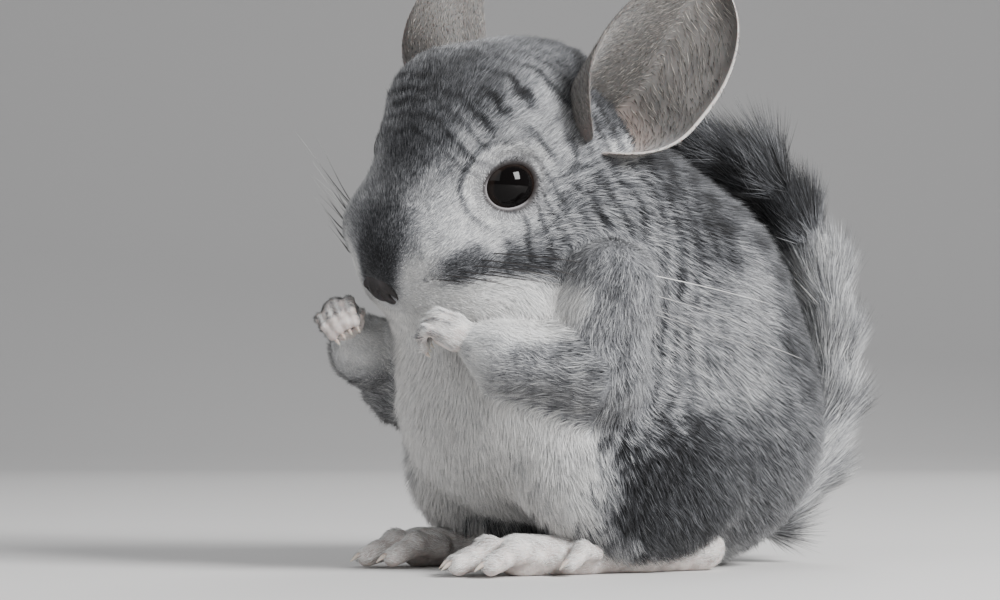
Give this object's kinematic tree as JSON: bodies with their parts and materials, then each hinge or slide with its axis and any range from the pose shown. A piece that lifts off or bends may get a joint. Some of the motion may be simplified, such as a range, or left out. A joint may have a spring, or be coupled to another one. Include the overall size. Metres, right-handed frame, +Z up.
{
  "type": "chinchilla model",
  "caption": "Still, life-size standard grey chinchilla sitting hunched on its hind feet with both forepaws held up near its mouth and its tail curled up along its back.",
  "frame": {"origin": "middle of the footprint's box, on the floor the animal sits on", "axes": "-Y the way the body faces, +X its left side, +Z up"},
  "size_m": [0.0848, 0.1378, 0.1502],
  "materials": {
    "grey_coat": "soft salt-and-pepper grey fur, paler on the flanks and white on throat and belly",
    "pale_coat": "very short whitish hair over the feet",
    "arm_coat": "short bluish grey fur",
    "tail_coat": "coarse bushy hair, pale grey along the tail and blackish brown at its end",
    "ear_skin": "thin, nearly bare grey-pink skin with fine pale down",
    "paw_skin": "pale skin with sparse white hairs and small claws",
    "eye_gloss": "wet, glossy, near-black brown"
  },
  "bodies": {
    "root": {"head": "grey_coat", "neck": "grey_coat", "torso": "grey_coat", "thigh_l": "grey_coat", "thigh_r": "grey_coat", "foot_l": "pale_coat", "foot_r": "pale_coat", "upper_arm_l": "arm_coat", "upper_arm_r": "arm_coat", "forearm_l": "arm_coat", "forearm_r": "arm_coat", "paw_l": "paw_skin", "paw_r": "paw_skin", "ear_l": "ear_skin", "ear_r": "ear_skin", "eye_l": "eye_gloss", "eye_r": "eye_gloss", "tail_base": "tail_coat", "tail_middle": "tail_coat", "tail_tip": "tail_coat"}
  },
  "joints": []
}
